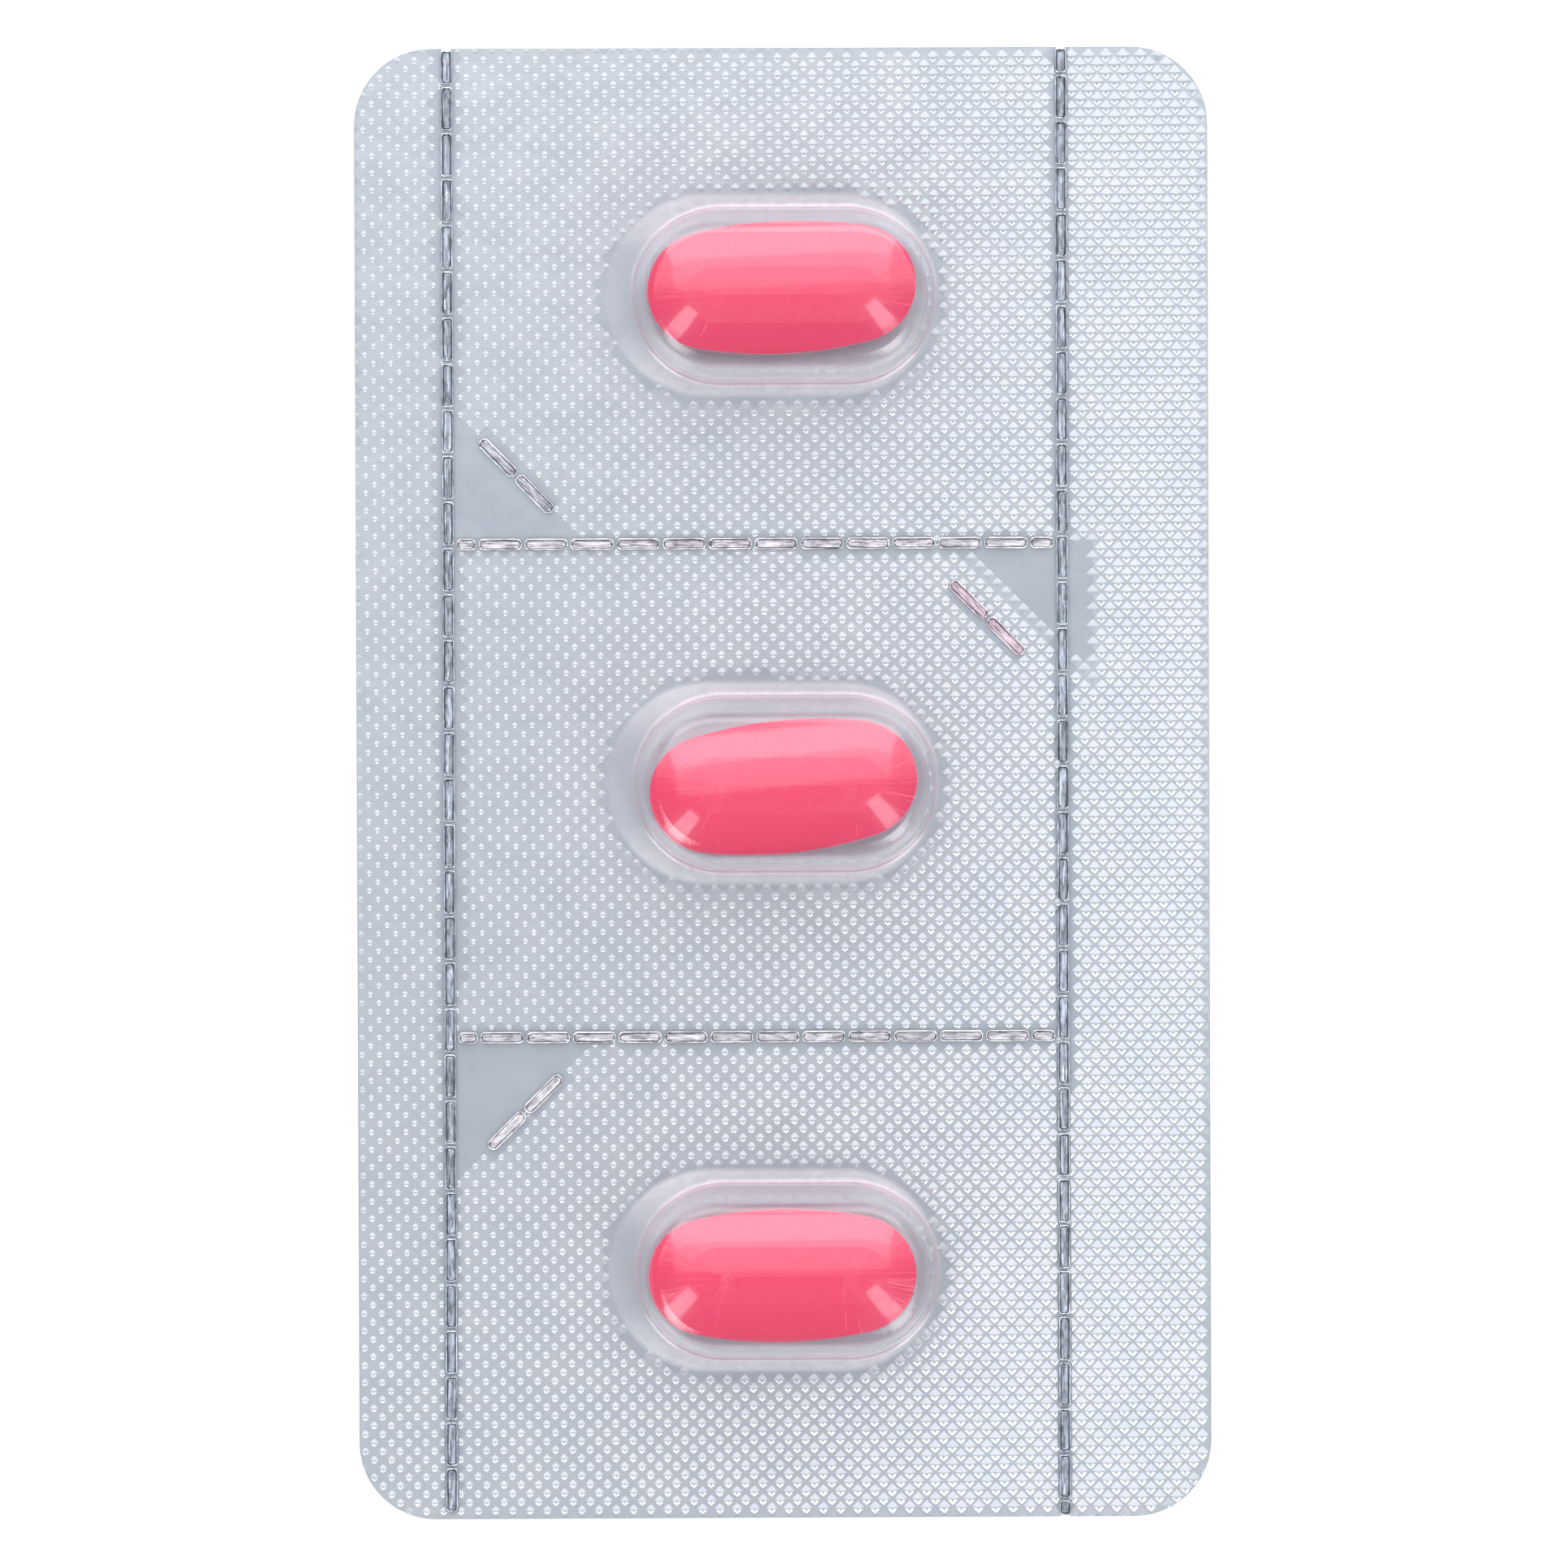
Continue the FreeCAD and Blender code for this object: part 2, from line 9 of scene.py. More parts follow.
# %% Load the card
import math

import bpy
import numpy as np
from mathutils import Matrix, Vector
from mathutils.geometry import delaunay_2d_cdt


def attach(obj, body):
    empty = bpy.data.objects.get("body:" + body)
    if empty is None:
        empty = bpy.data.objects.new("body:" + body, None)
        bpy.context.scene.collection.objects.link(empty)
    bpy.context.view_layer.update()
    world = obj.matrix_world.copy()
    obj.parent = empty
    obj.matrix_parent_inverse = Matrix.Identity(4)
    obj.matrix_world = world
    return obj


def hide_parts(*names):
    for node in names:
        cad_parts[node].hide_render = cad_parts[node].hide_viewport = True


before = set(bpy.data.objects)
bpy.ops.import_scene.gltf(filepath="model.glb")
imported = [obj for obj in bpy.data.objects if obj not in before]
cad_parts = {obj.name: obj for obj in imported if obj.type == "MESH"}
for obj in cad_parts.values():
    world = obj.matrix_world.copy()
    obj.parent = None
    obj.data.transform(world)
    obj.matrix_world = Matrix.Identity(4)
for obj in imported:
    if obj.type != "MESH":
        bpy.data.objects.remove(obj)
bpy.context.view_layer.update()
print("nodes:", sorted(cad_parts))

# %% [markdown]
# ## Sizes
#
# All lengths are written in millimetres, because that is how a card is measured, and become
# metres only when a mesh is made. They repeat the model's own sizes, so that each new piece lies
# where its solid lies.

# %% The card's sizes
MM = 0.001
CARD_WIDTH, CARD_LENGTH, CARD_CORNER = 54.3, 93.62, 4.9
FOIL_TOP, FLANGE_TOP = 0.10, 0.35
POCKET_X, POCKET_PITCH = 0.15, 31.06
POCKET_ROWS = (1, 0, -1)
FOOT_STRAIGHT, SHOULDER_STRAIGHT, SHOULDER_HEIGHT = 3.96, 4.38, 6.0
LEFT_LINE, RIGHT_LINE = -21.27, 17.82
UPPER_LINE, LOWER_LINE = 15.28, -16.13
SLOT_WIDTH, SLOT_PITCH, SLOT_TIE = 0.6, 2.92, 0.3

# %% [markdown]
# ## Making a mesh
#
# Every new piece comes out of numpy as a table of points and a table of faces. One helper turns
# the two tables into a Blender object that rides on the card.

# %% From numpy to Blender


def build_piece(name, points, faces, slot, smooth_below=None):
    """An object from points in millimetres and faces given as rows of point numbers.

    smooth_below is the largest angle in degrees across which two faces still shade as one.
    Points that no face uses are left out.
    """
    used = np.unique(np.concatenate([np.ravel(face) for face in faces]))
    place = np.full(len(points), -1)
    place[used] = np.arange(len(used))
    mesh = bpy.data.meshes.new(name)
    mesh.from_pydata((points[used] * MM).tolist(), [], [place[face].tolist() for face in faces])
    mesh.validate()
    if smooth_below is not None:
        mesh.shade_smooth()
        mesh.set_sharp_from_angle(angle=math.radians(smooth_below))
    piece = bpy.data.objects.new(name, mesh)
    bpy.context.collection.objects.link(piece)
    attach(piece, "root")
    print(f"{name}: {len(mesh.vertices)} points, {len(mesh.polygons)} faces")
    return piece


def grid_faces(rows, columns):
    """Quads between neighbouring points of a grid whose last column joins the first."""
    row, column = np.meshgrid(np.arange(rows - 1), np.arange(columns), indexing="ij")
    after = (column + 1) % columns
    quads = np.stack([row * columns + column, row * columns + after,
                      (row + 1) * columns + after, (row + 1) * columns + column], axis=-1)
    return quads.reshape(-1, 4)


def add_attribute(piece, name, kind, values):
    """Numbers for each point of a piece, which its finish reads by their name."""
    attribute = piece.data.attributes.new(name, kind, "POINT")
    key = "color" if kind == "FLOAT_COLOR" else "vector"
    attribute.data.foreach_set(key, values.ravel().astype(np.float32))


# %% [markdown]
# ## Shader sums
#
# A pattern is easiest to read as a sum. This small class wraps a socket, so that `a * b + 1`
# adds the Math nodes for it. Every other node comes from one method.

# %% A socket that can be added and multiplied


class Sum:
    """A number on its way through the shader, with Python's operators as Math nodes."""

    def __init__(self, paint, socket):
        self.paint = paint
        self.socket = socket

    def _math(self, operation, *others):
        return self.paint.node("ShaderNodeMath", {"operation": operation},
                               *[getattr(other, "socket", other) for other in others])

    def __add__(self, other):
        return self._math("ADD", self, other)

    def __sub__(self, other):
        return self._math("SUBTRACT", self, other)

    def __mul__(self, other):
        return self._math("MULTIPLY", self, other)

    def length(self, other):
        """The root of the sum of two squares."""
        return self._math("SQRT", self * self + other * other)

    def size(self):
        """The number without its sign."""
        return self._math("ABSOLUTE", self)

    def at_least(self, low):
        return self._math("MAXIMUM", self, low)

    def wrapped(self, high, low):
        """The number moved by whole spans until it lies between low and high."""
        return self._math("WRAP", self, high, low)


# %% A material and its nodes


class Paint:
    """One material and the nodes that it is made of."""

    def __init__(self, name):
        self.material = bpy.data.materials.new(name)
        self.material.use_nodes = True
        self.tree = self.material.node_tree
        self.tree.nodes.clear()

    def node(self, kind, settings=None, *values, output=0, **named):
        """A node of any kind: its settings first, then values or links for its sockets."""
        made = self.tree.nodes.new(kind)
        for name, value in (settings or {}).items():
            setattr(made, name, value)
        for key, value in [*enumerate(values), *named.items()]:
            key = key.replace("_", " ") if isinstance(key, str) else key
            value = getattr(value, "socket", value)
            if isinstance(value, bpy.types.NodeSocket):
                self.tree.links.new(value, made.inputs[key])
            else:
                made.inputs[key].default_value = value
        return Sum(self, made.outputs[output])

    def ramp(self, factor, stops):
        """A colour ramp from two stops, each a place and a colour."""
        made = self.tree.nodes.new("ShaderNodeValToRGB")
        for element, (place, colour) in zip(made.color_ramp.elements, stops):
            element.position = place
            element.color = (*colour, 1.0)
        self.tree.links.new(factor.socket, made.inputs[0])
        return Sum(self, made.outputs[0])

    def tinted(self, first, second):
        """One colour multiplied by another. The node's colour sockets are numbers 6 and 7."""
        made = self.tree.nodes.new("ShaderNodeMix")
        made.data_type, made.blend_type = "RGBA", "MULTIPLY"
        made.inputs[0].default_value = 1.0
        self.tree.links.new(first.socket, made.inputs[6])
        self.tree.links.new(second.socket, made.inputs[7])
        return Sum(self, made.outputs[2])

    def parts(self, vector):
        """The three coordinates of a place."""
        made = self.tree.nodes.new("ShaderNodeSeparateXYZ")
        self.tree.links.new(vector.socket, made.inputs[0])
        return [Sum(self, socket) for socket in made.outputs]

    def step(self, value, low, high):
        """0 below low, 1 above high and a soft rise between. low may be the larger one."""
        return self.node("ShaderNodeMapRange", {"interpolation_type": "SMOOTHSTEP"}, value, low,
                         high, 0.0, 1.0)

    def band(self, value, rise, fall):
        """1 between two soft steps and 0 outside them."""
        return self.step(value, *rise) * self.step(value, *fall)

    def noise(self, vector, scale, detail, roughness=0.5):
        """Soft noise from 0 to 1."""
        return self.node("ShaderNodeTexNoise", {}, Vector=vector, Scale=scale, Detail=detail,
                         Roughness=roughness)

    def attribute(self, name, output):
        """What the mesh says at this point under a name, as a Vector or a Color."""
        return self.node("ShaderNodeAttribute", {"attribute_name": name}, output=output)

    def place(self, scale=1.0):
        """The point's place on the object, in metres times a scale."""
        spot = self.node("ShaderNodeTexCoord", output="Object")
        return self.node("ShaderNodeMapping", {}, Vector=spot, Scale=(scale, scale, scale))

    def bump(self, height, distance, strength):
        """A normal that leans as the height says. distance is in metres."""
        return self.node("ShaderNodeBump", {}, Height=height, Distance=distance,
                         Strength=strength)

    def finish(self, shader):
        """Ends the material with its surface."""
        end = self.tree.nodes.new("ShaderNodeOutputMaterial")
        self.tree.links.new(shader.socket, end.inputs["Surface"])
        return self.material


# %% [markdown]
# ## Where the slots are
#
# The tear lines are rows of slots with thin ties between them. They could be painted, but light
# falls into a real slot and catches its lip, so film and foil are cut by the same table. Each
# slot is one row of it: middle across, middle along, half length and direction. The rows come
# from the same sums as the solids' cutters.

# %% A row of slots
PAST_EDGE = 1.0
PEEL_SLOT = 3.0


def line_spans(first_tie, run):
    """Start and end of each slot between the first and the last tie of a line."""
    count = round(run / SLOT_PITCH)
    ties = first_tie + np.arange(count + 1) * run / count
    return list(zip(ties[:-1] + SLOT_TIE / 2, ties[1:] - SLOT_TIE / 2))


def slots_along(x, y, degrees, spans):
    """Rows of (middle x, middle y, half length, direction) for spans along one line."""
    spans = np.array(spans)
    turn = math.radians(degrees)
    middle = spans.mean(axis=1)
    return np.stack([x + math.cos(turn) * middle, y + math.sin(turn) * middle,
                     (spans[:, 1] - spans[:, 0]) / 2, np.full(len(spans), turn)], axis=1)


def vertical_slots(x, first_tie, last_tie, open_foot):
    """A line down the card. The slot at the top edge is open, and perhaps the bottom one."""
    spans = [(-PAST_EDGE, first_tie - SLOT_TIE / 2)]
    spans += line_spans(first_tie, CARD_LENGTH - first_tie - last_tie)
    if open_foot:
        spans.append((CARD_LENGTH - last_tie + SLOT_TIE / 2, CARD_LENGTH + PAST_EDGE))
    return slots_along(x, CARD_LENGTH / 2, -90, spans)


def cross_slots(y, first_tie=1.85, last_tie=2.12):
    """A line from one vertical line to the other."""
    width, clear = RIGHT_LINE - LEFT_LINE, SLOT_WIDTH / 2 + SLOT_TIE
    spans = [(clear, first_tie - SLOT_TIE / 2)]
    spans += line_spans(first_tie, width - first_tie - last_tie)
    spans.append((width - last_tie + SLOT_TIE / 2, width - clear))
    return slots_along(LEFT_LINE, y, 0, spans)


def peel_slots(x, side, y, rise, leg):
    """Two slanted slots across one corner of a unit."""
    spans = [(-SLOT_TIE / 2 - PEEL_SLOT, -SLOT_TIE / 2), (SLOT_TIE / 2, SLOT_TIE / 2 + PEEL_SLOT)]
    return slots_along(x + side * leg / 2, y + rise * leg / 2, -45 * side * rise, spans)


# %% The table of slots and their painted light and shade
VERTICAL = np.vstack([vertical_slots(LEFT_LINE, first_tie=2.33, last_tie=0.4, open_foot=False),
                      vertical_slots(RIGHT_LINE, first_tie=1.7, last_tie=1.09, open_foot=True)])
CROSS = np.vstack([cross_slots(UPPER_LINE), cross_slots(LOWER_LINE)])
SLANTED = np.vstack([peel_slots(LEFT_LINE, 1, UPPER_LINE, 1, leg=8.72),
                     peel_slots(RIGHT_LINE, -1, UPPER_LINE, -1, leg=9.55),
                     peel_slots(LEFT_LINE, 1, LOWER_LINE, -1, leg=9.52)])
SLOTS = np.vstack([VERTICAL, CROSS, SLANTED])

# The cut edges are painted dark down the card and lighter across it, as painted shade and
# painted light for how the lamps fall on each way of slot, and they differ at the peel corners.
VERTICAL_SHADED_TINT, CROSS_LIT_TINT = (0.36, 0.40, 0.46), (0.56, 0.55, 0.60)
SLANTED_LIT_TINTS = [(0.46, 0.46, 0.52)] * 2 + [(0.60, 0.47, 0.53)] * 2 + [(0.62, 0.59, 0.63)] * 2
LIT_TINTS = np.array([VERTICAL_SHADED_TINT] * len(VERTICAL) + [CROSS_LIT_TINT] * len(CROSS) + SLANTED_LIT_TINTS)
print("slots:", len(SLOTS))

# %% [markdown]
# ## Distances on the card
#
# Whether a point lies in the card, in a slot or in a smooth zone is asked many times. A signed
# distance answers all of these: it is negative inside a shape and grows outwards.

# %% Signed distances


def box_distance(x, y, half_x, half_y, corner=0.0):
    """Signed distance to a rectangle round the origin, with round corners."""
    out_x = np.abs(x) - half_x + corner
    out_y = np.abs(y) - half_y + corner
    outside = np.hypot(np.maximum(out_x, 0), np.maximum(out_y, 0))
    return outside + np.minimum(np.maximum(out_x, out_y), 0) - corner


def card_distance(x, y):
    """Signed distance to the card's outline."""
    return box_distance(x, y, CARD_WIDTH / 2, CARD_LENGTH / 2, CARD_CORNER)


def slot_distance(x, y):
    """Signed distance to the nearest slot."""
    nearest = np.full(x.shape, np.inf)
    for middle_x, middle_y, half, turn in SLOTS:
        along = (x - middle_x) * math.cos(turn) + (y - middle_y) * math.sin(turn)
        across = (y - middle_y) * math.cos(turn) - (x - middle_x) * math.sin(turn)
        nearest = np.minimum(nearest, box_distance(along, across, half, SLOT_WIDTH / 2))
    return nearest


def stadium_distance(x, y, half_straight, radius):
    """Signed distance to a stadium round the origin, with its straight sides along x."""
    return np.hypot(np.maximum(np.abs(x) - half_straight, 0), y) - radius


def corner_distance(x, y, side, rise, leg):
    """Signed distance to a right-angled corner whose two legs run along x and y."""
    return np.maximum(np.maximum(-side * x, -rise * y),
                      (side * x + rise * y - leg) / math.sqrt(2))


# %% The zones that aren't sealed
# Round each pocket it is a stadium, whose middle is given on the card and from the pocket's row.
ZONE_X, ZONE_Y, ZONE_STRAIGHT, ZONE_RADIUS = -0.58, 0.05, 4.2, 6.5
# At each peel corner: the corner's own x and y, which way its legs run, and their length.
PEEL_CORNERS = ((LEFT_LINE, UPPER_LINE, 1, 1, 8.1), (RIGHT_LINE + 1.75, UPPER_LINE, -1, -1, 8.15),
                (LEFT_LINE, LOWER_LINE, 1, -1, 8.63))


def smooth_distance(x, y):
    """Signed distance to the nearest zone that isn't sealed."""
    zones = [stadium_distance(x - ZONE_X, y - row * POCKET_PITCH - ZONE_Y, ZONE_STRAIGHT,
                              ZONE_RADIUS) for row in POCKET_ROWS]
    zones += [corner_distance(x - corner_x, y - corner_y, side, rise, leg)
              for corner_x, corner_y, side, rise, leg in PEEL_CORNERS]
    return np.minimum.reduce(zones)


# %% [markdown]
# ## The clear film
#
# A drawn film has no sharp corner anywhere: the roof rolls into the wall and the wall into the
# flange. The solids keep these as flats, which would show as bands in the gloss. So the film is
# drawn again here. Its pockets are one profile carried round a stadium, once for the outside
# and once for the inside, and its flange is a flat sheet cut by the card's outline, the slots
# and the pockets.

# %% The pocket's profile
WALL_LEAN = math.tan(math.radians(9.5))
ROOF_SLOPE = math.tan(math.radians(11))
ROOF_FLAT, ROOF_FALL, ROOF_RADIUS = 1.85, 0.075, 0.9
BELLY_HEIGHT = 3.23
FOOT_RUN = 1.2


def rounded_profile(corners):
    """Points along a line through corners given as (across, up, radius, steps).

    At each round corner the line leaves along an arc that touches both sides: the arc starts
    radius times tan(half the turn) before the corner.
    """
    corners = [(np.array(corner[:2]), *corner[2:]) for corner in corners]
    points = [corners[0][0]]
    for (before, *_), (spot, radius, steps), (after, *_) in zip(corners, corners[1:],
                                                                corners[2:]):
        back = (before - spot) / np.linalg.norm(before - spot)
        forth = (after - spot) / np.linalg.norm(after - spot)
        half = math.acos(np.clip(back @ forth, -1, 1)) / 2
        middle = (back + forth) / np.linalg.norm(back + forth)
        centre = spot + middle * radius / math.sin(half)
        first, last = spot + back * radius / math.tan(half), spot + forth * radius / math.tan(half)
        share = np.linspace(0, 1, steps + 1)[:, None]
        sweep = math.pi - 2 * half
        arc = (np.sin((1 - share) * sweep) * (first - centre)
               + np.sin(share * sweep) * (last - centre)) / math.sin(sweep)
        points.extend(centre + arc)
    points.append(corners[-1][0])
    return np.array(points)


def pocket_profile(half_width, roof, shoulder, foot_height, foot):
    """The line from the roof's middle out and down to the flange, as (distance out, height).

    half_width is measured at the belly. Below it the wall leans out and above it in, by
    WALL_LEAN times the height. The roof falls by ROOF_FALL over its flat part, and would fall
    by ROOF_SLOPE times the distance past that. The shoulder lies where this slope, drawn from
    the roof's full height, meets the wall. shoulder and foot are radii.
    """
    across = ((half_width - (roof + ROOF_FLAT * ROOF_SLOPE - BELLY_HEIGHT) * WALL_LEAN)
              / (1 - ROOF_SLOPE * WALL_LEAN))
    foot_across = half_width + (BELLY_HEIGHT - foot_height) * WALL_LEAN
    return rounded_profile([(0.0, roof, 0, 0),
                            (ROOF_FLAT, roof - ROOF_FALL, ROOF_RADIUS, 3),
                            (across, roof - (across - ROOF_FLAT) * ROOF_SLOPE, shoulder, 10),
                            (foot_across, foot_height, foot, 8),
                            (foot_across + FOOT_RUN, foot_height, 0, 0)])


# The film's underside lies a hair above the foil, so that no two faces share one place.
FILM_UNDERSIDE = FOIL_TOP + 0.012
OUTSIDE = pocket_profile(5.1325, roof=6.90, shoulder=1.2, foot_height=FLANGE_TOP, foot=0.35)
INSIDE = pocket_profile(4.95, roof=6.75, shoulder=1.02, foot_height=FILM_UNDERSIDE, foot=0.5)
print("profile points:", len(OUTSIDE), len(INSIDE))

# %% Carry the profile round a stadium
ROUND_STEPS, STRAIGHT_STEPS = 44, 9


def stadium_path():
    """Once round: the end centre's side, from -1 to 1, and the outward direction."""
    turn = np.linspace(-math.pi / 2, math.pi / 2, ROUND_STEPS + 1)
    straight = np.linspace(0, 1, STRAIGHT_STEPS + 1)[1:-1]
    centre = np.concatenate([np.ones(len(turn)), 1 - 2 * straight, -np.ones(len(turn)),
                             2 * straight - 1])
    angle = np.concatenate([turn, np.full(len(straight), math.pi / 2), turn + math.pi,
                            np.full(len(straight), -math.pi / 2)])
    return centre, angle


def half_straight(height):
    """Half the stadium's straight side. It grows with height, as the end walls are steeper."""
    share = np.clip((height - FLANGE_TOP) / (SHOULDER_HEIGHT - FLANGE_TOP), 0, 1)
    return FOOT_STRAIGHT + (SHOULDER_STRAIGHT - FOOT_STRAIGHT) * share


def pocket_shell(profile, row):
    """Points of one skin of a pocket: centre plus distance times direction, ring by ring."""
    centre, angle = stadium_path()
    centre = centre * half_straight(profile[:, 1:])
    x = POCKET_X + centre + profile[:, :1] * np.cos(angle)
    y = row * POCKET_PITCH + profile[:, :1] * np.sin(angle)
    z = np.broadcast_to(profile[:, 1:], x.shape)
    return np.stack([x, y, z], axis=-1)


# %% Outlines of the card and the slots
CARD_CORNER_STEPS, SLOT_CORNER_STEPS = 12, 4
HOLE_CORNER = 0.22


def rectangle_outline(half_x, half_y, corner, steps):
    """A rectangle round the origin, anticlockwise, with so many steps to a round corner."""
    turn = np.linspace(0, math.pi / 2, steps + 1)
    corners = []
    for quarter, (side, rise) in enumerate(((1, 1), (-1, 1), (-1, -1), (1, -1))):
        angle = turn + quarter * math.pi / 2
        corners.append(np.stack([side * (half_x - corner) + corner * np.cos(angle),
                                 rise * (half_y - corner) + corner * np.sin(angle)], axis=1))
    return np.vstack(corners)


def slot_outline(slot, grow=0.0, corner=HOLE_CORNER):
    """A slot's outline on the card, wider by grow on every side."""
    x, y, half_length, turn = slot
    ring = rectangle_outline(half_length + grow, SLOT_WIDTH / 2 + grow, corner, SLOT_CORNER_STEPS)
    cos, sin = math.cos(turn), math.sin(turn)
    return np.stack([x + ring[:, 0] * cos - ring[:, 1] * sin,
                     y + ring[:, 0] * sin + ring[:, 1] * cos], axis=1)


# %% Cut a flat sheet along outlines
SAME_POINT = 1e-5


def loop_edges(start, count):
    """Pairs of neighbouring point numbers once round a closed loop."""
    step = np.arange(count)
    return np.stack([start + step, start + (step + 1) % count], axis=1)


def cut_sheet(outlines, keep):
    """Triangles of the plane between outlines. keep says of a triangle's middle if it stays."""
    points = np.vstack(outlines)
    starts = np.cumsum([0] + [len(outline) for outline in outlines[:-1]])
    edges = np.vstack([loop_edges(start, len(outline))
                       for start, outline in zip(starts, outlines)])
    spots, _, faces, *_ = delaunay_2d_cdt([Vector(point) for point in points],
                                          edges.tolist(), [], 0, SAME_POINT)
    spots = np.array([tuple(spot) for spot in spots])
    faces = np.array(faces)
    middles = spots[faces].mean(axis=1)
    return spots, faces[keep(middles[:, 0], middles[:, 1])]


def open_edges(faces):
    """The edges that only one triangle has, in that triangle's direction."""
    edges = np.vstack([faces[:, [0, 1]], faces[:, [1, 2]], faces[:, [2, 0]]])
    key = np.sort(edges, axis=1)
    _, place, count = np.unique(key, axis=0, return_index=True, return_counts=True)
    return edges[place[count == 1]]


# %% The flange
ROUNDED_OFF = 0.02


def pocket_foot_distance(x, y, reach):
    """Signed distance to the nearest pocket's opening in the flange."""
    return np.minimum.reduce([stadium_distance(x - POCKET_X, y - row * POCKET_PITCH,
                                               FOOT_STRAIGHT, reach) for row in POCKET_ROWS])


def flange(profile):
    """The film's flat part, cut by the card, the slots and the pockets' openings.

    A slot's round corners lie a little inside its square distance, hence ROUNDED_OFF.
    """
    reach = profile[-2, 0]
    shells = [pocket_shell(profile[-2:-1], row)[0, :, :2] for row in POCKET_ROWS]
    slots = [slot_outline(slot) for slot in SLOTS]

    def stays(x, y):
        return ((card_distance(x, y) < 0) & (slot_distance(x, y) > -ROUNDED_OFF)
                & (pocket_foot_distance(x, y, reach) > 0))

    return cut_sheet([rectangle_outline(CARD_WIDTH / 2, CARD_LENGTH / 2, CARD_CORNER,
                                        CARD_CORNER_STEPS), *shells, *slots], stays)


# %% Put the film together
FILM_SMOOTH_BELOW = 35
RIM_CLEAR = 0.05
STREAKS_ROUND, STREAKS_UP = 5, 0.12
INNERMOST = 0.3


def film_tables():
    """Points and faces of the outer and inner skins of three pockets, with the flange's faces.

    The inner skin's faces are turned over. The walls at the card's edge and in the slots hang
    from the upper face's open edges, apart from those at the pockets.
    """
    rounds = len(stadium_path()[0])
    all_points, all_faces, count = [], [], 0
    for profile, outward in ((OUTSIDE, True), (INSIDE, False)):
        for row in POCKET_ROWS:
            shell = pocket_shell(profile[:-1], row)
            quads = grid_faces(len(profile) - 1, rounds) + count
            all_points.append(shell.reshape(-1, 3))
            all_faces.extend(quads[:, ::-1] if outward else quads)
            count += shell.shape[0] * rounds
        spots, faces = flange(profile)
        height = np.full(len(spots), profile[-1, 1])
        all_points.append(np.column_stack([spots, height]))
        all_faces.extend((faces if outward else faces[:, ::-1]) + count)
        if outward:
            top, edges, start = spots, open_edges(faces), count
        count += len(spots)
    middle = top[edges].mean(axis=1)
    rim = edges[pocket_foot_distance(middle[:, 0], middle[:, 1], OUTSIDE[-2, 0]) > RIM_CLEAR]
    all_points.append(np.column_stack([top, np.full(len(top), FILM_UNDERSIDE)]))
    all_faces.extend(np.stack([rim[:, 1] + start, rim[:, 0] + start, rim[:, 0] + count,
                               rim[:, 1] + count], axis=1))
    return np.vstack(all_points), all_faces


def streak_map(piece):
    """Texture places for streaks that run from roof to foot.

    They change quickly on the way round the pocket and slowly with the height.
    """
    points = np.empty(len(piece.data.vertices) * 3)
    piece.data.vertices.foreach_get("co", points)
    points = points.reshape(-1, 3) / MM
    x = points[:, 0] - POCKET_X
    y = (points[:, 1] + POCKET_PITCH / 2) % POCKET_PITCH - POCKET_PITCH / 2
    end = np.clip(x, -FOOT_STRAIGHT, FOOT_STRAIGHT)
    away = np.stack([x - end, y], axis=1)
    radius = np.maximum(np.linalg.norm(away, axis=1), INNERMOST)[:, None]
    return np.column_stack([away / radius * STREAKS_ROUND, points[:, 2] * STREAKS_UP + end])


film = build_piece("clear_film", *film_tables(), "clear_film", FILM_SMOOTH_BELOW)
add_attribute(film, "streaks", "FLOAT_VECTOR", streak_map(film))
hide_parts("blister_film")

# %% [markdown]
# ## The sealed foil
#
# The sealing plate presses a net of fine lines at 45 degrees into foil and film, and leaves a
# small pyramid in each mesh of the net. On the right they nearly fill their mesh and their faces
# are flat; on the left they are low and round, with wide valleys between. A bump would be
# cheaper, but it has no slopes for the lamps to find. Thousands of pyramids are wanted, so each
# has few faces: eight triangles, and five quads for the valleys beside it. What looks round is
# done by the corners' normals.

# %% The lattice
CELL = 0.778
LATTICE_TURN = math.radians(45.25)
LATTICE_REACH = 56
RELIEF_FLOOR = FOIL_TOP + 0.016


def to_card(u, v):
    """Lattice coordinates, in cells, to the card's x and y."""
    cos, sin = math.cos(LATTICE_TURN) * CELL, math.sin(LATTICE_TURN) * CELL
    return u * cos - v * sin, u * sin + v * cos


def sealed_cells():
    """Lattice numbers of the cells in the sealed part, and a square table of their rows.

    The table says for each lattice number which row of the list it has, or -1 for none. A cell
    counts up to 0.45 mm past the card's edge, 0.05 from a smooth zone and 0.12 from a slot.
    """
    reach = int(LATTICE_REACH / CELL)
    numbers = np.arange(-reach, reach + 1)
    u, v = np.meshgrid(numbers, numbers, indexing="ij")
    x, y = to_card(u, v)
    sealed = ((card_distance(x, y) < 0.45) & (smooth_distance(x, y) > 0.05)
              & (slot_distance(x, y) > 0.12))
    rows = np.full(u.shape, -1)
    rows[sealed] = np.arange(sealed.sum())
    return u[sealed], v[sealed], rows


def pressed(x, y):
    """How hard the seal is pressed, from 0 at the left to 1 at the right margin.

    It grows over the 44 mm right of -20 by a power of 1.2. The card's foot adds up to 0.35
    over 30 mm, and its head up to 0.12 over 16 mm.
    """
    across = np.clip((x + 20) / 44, 0, 1)
    foot = np.clip((-y - 15) / 30, 0, 1) * 0.35
    head = np.clip((y - 30) / 16, 0, 1) * 0.12
    return np.clip(across ** 1.2 + foot + head, 0, 1)


